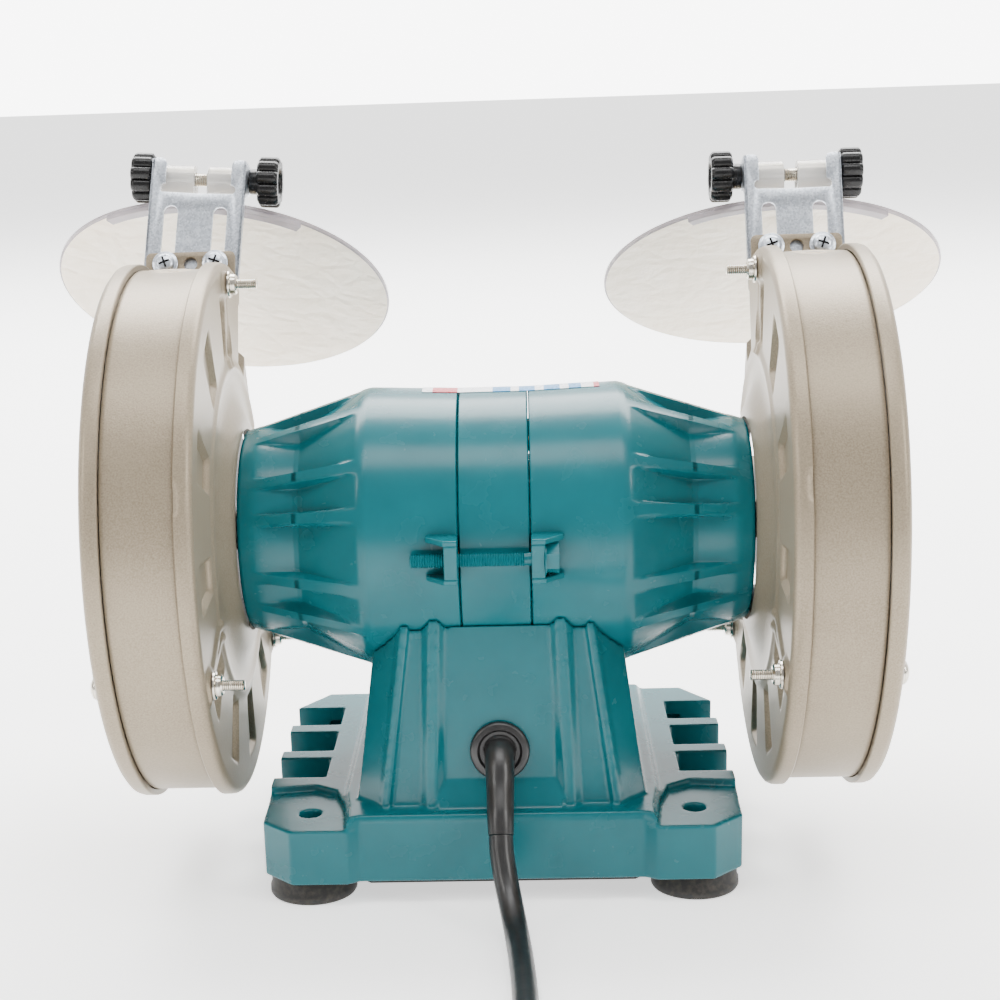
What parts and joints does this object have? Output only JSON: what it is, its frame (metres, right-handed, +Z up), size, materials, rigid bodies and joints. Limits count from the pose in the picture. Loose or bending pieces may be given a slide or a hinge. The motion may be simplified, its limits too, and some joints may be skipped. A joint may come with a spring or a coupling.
{
  "type": "bench grinder",
  "caption": "Double-ended bench grinder: ribbed motor on a cast pedestal, guarded wheels, tilting round eye shields, tool rests and a mains cord.",
  "frame": {"origin": "on the floor under the middle of the grinder's own box, without the cord", "axes": "+X along the shaft, +Y to the rear where the cord leaves, -Y to the working side, +Z up"},
  "size_m": [0.4296, 0.5671, 0.3067],
  "materials": {
    "teal_paint": "smooth gloss enamel on castings",
    "guard_paint": "fine taupe-silver speckled paint",
    "zinc": "zinc plated with a faint spangle",
    "steel": "turned bright steel",
    "black_plastic": "moulded, glossy",
    "clear_plastic": "clear sheet under a creased cream protective film",
    "grit": "vitrified grinding grit",
    "copper": "enamelled winding wire",
    "lamination": "stacked laminations",
    "rubber": "moulded, slightly dusty",
    "capacitor_shell": "moulded can"
  },
  "bodies": {
    "stand": {"end_bell_right": "teal_paint", "bearing_right": "steel", "end_bell_left": "teal_paint", "bearing_left": "steel", "stator_core": "teal_paint", "stator_winding": "copper", "through_bolt_rear": "teal_paint", "through_bolt_front": "teal_paint", "inner_guard_right": "guard_paint", "guard_band_right": "guard_paint", "outer_cover_right": "guard_paint", "cover_screw_top_right": "zinc", "cover_screw_rear_right": "zinc", "cover_screw_front_right": "zinc", "inner_guard_left": "guard_paint", "guard_band_left": "guard_paint", "outer_cover_left": "guard_paint", "cover_screw_top_left": "zinc", "cover_screw_rear_left": "zinc", "cover_screw_front_left": "zinc", "bracket_screws_right": "zinc", "bracket_screws_left": "zinc", "tool_rest_bolt_right": "zinc", "tool_rest_bolt_left": "zinc", "base_casting": "teal_paint", "base_plate": "zinc", "foot_rear_right": "rubber", "foot_rear_left": "rubber", "foot_front_right": "rubber", "foot_front_left": "rubber", "capacitor": "capacitor_shell", "switch_body": "black_plastic", "cord_grommet": "rubber", "power_cord": "rubber", "cord_coil": "rubber", "plug": "rubber"},
    "rotor": {"shaft": "steel", "rotor_core": "lamination", "wheel_right": "grit", "inner_flange_right": "steel", "outer_flange_right": "steel", "wheel_nut_right": "zinc", "wheel_left": "grit", "inner_flange_left": "steel", "outer_flange_left": "steel", "wheel_nut_left": "zinc"},
    "bracket_right": {"shield_bracket_right": "zinc"},
    "shield_right": {"eye_shield_right": "clear_plastic"},
    "outer_knob_right": {"knob_outer_right": "black_plastic", "pivot_bolt_right": "steel"},
    "inner_knob_right": {"knob_inner_right": "black_plastic"},
    "rest_right": {"tool_rest_right": "guard_paint"},
    "bracket_left": {"shield_bracket_left": "zinc"},
    "shield_left": {"eye_shield_left": "clear_plastic"},
    "outer_knob_left": {"knob_outer_left": "black_plastic", "pivot_bolt_left": "steel"},
    "inner_knob_left": {"knob_inner_left": "black_plastic"},
    "rest_left": {"tool_rest_left": "guard_paint"},
    "rocker": {"rocker_switch": "black_plastic"}
  },
  "joints": [
    {"name": "rotor_spin", "type": "hinge", "parent": "stand", "child": "rotor", "pos_m": [0.00071, 0.04714, 0.1478], "axis": [1, 0, 0], "continuous": true},
    {"name": "bracket_slide_right", "type": "slide", "parent": "stand", "child": "bracket_right", "axis": [-0.0698, -0.4216, 0.9041], "range_m": [-0.007, 0.003]},
    {"name": "shield_tilt_right", "type": "hinge", "parent": "bracket_right", "child": "shield_right", "pos_m": [0.13209, -0.03299, 0.29348], "axis": [0.9976, -0.0295, 0.0632], "range_deg": [-60, 10]},
    {"name": "outer_knob_turn_right", "type": "hinge", "parent": "bracket_right", "child": "outer_knob_right", "pos_m": [0.13209, -0.03299, 0.29348], "axis": [0.9976, -0.0295, 0.0632], "continuous": true},
    {"name": "inner_knob_turn_right", "type": "hinge", "parent": "bracket_right", "child": "inner_knob_right", "pos_m": [0.13209, -0.03299, 0.29348], "axis": [0.9976, -0.0295, 0.0632], "continuous": true},
    {"name": "rest_slide_right", "type": "slide", "parent": "stand", "child": "rest_right", "axis": [0, 1, 0], "range_m": [-0.005, 0.002]},
    {"name": "bracket_slide_left", "type": "slide", "parent": "stand", "child": "bracket_left", "axis": [0, -0.4226, 0.9063], "range_m": [-0.002, 0.009]},
    {"name": "shield_tilt_left", "type": "hinge", "parent": "bracket_left", "child": "shield_left", "pos_m": [-0.13379, -0.03033, 0.28778], "axis": [1, 0, 0], "range_deg": [-60, 10]},
    {"name": "outer_knob_turn_left", "type": "hinge", "parent": "bracket_left", "child": "outer_knob_left", "pos_m": [-0.13379, -0.03033, 0.28778], "axis": [1, 0, 0], "continuous": true},
    {"name": "inner_knob_turn_left", "type": "hinge", "parent": "bracket_left", "child": "inner_knob_left", "pos_m": [-0.13379, -0.03033, 0.28778], "axis": [1, 0, 0], "continuous": true},
    {"name": "rest_slide_left", "type": "slide", "parent": "stand", "child": "rest_left", "axis": [0, 1, 0], "range_m": [-0.005, 0.002]},
    {"name": "rocker_press", "type": "hinge", "parent": "stand", "child": "rocker", "pos_m": [0.00071, -0.03281, 0.0611], "axis": [1, 0, 0], "range_deg": [-12, 0]}
  ]
}
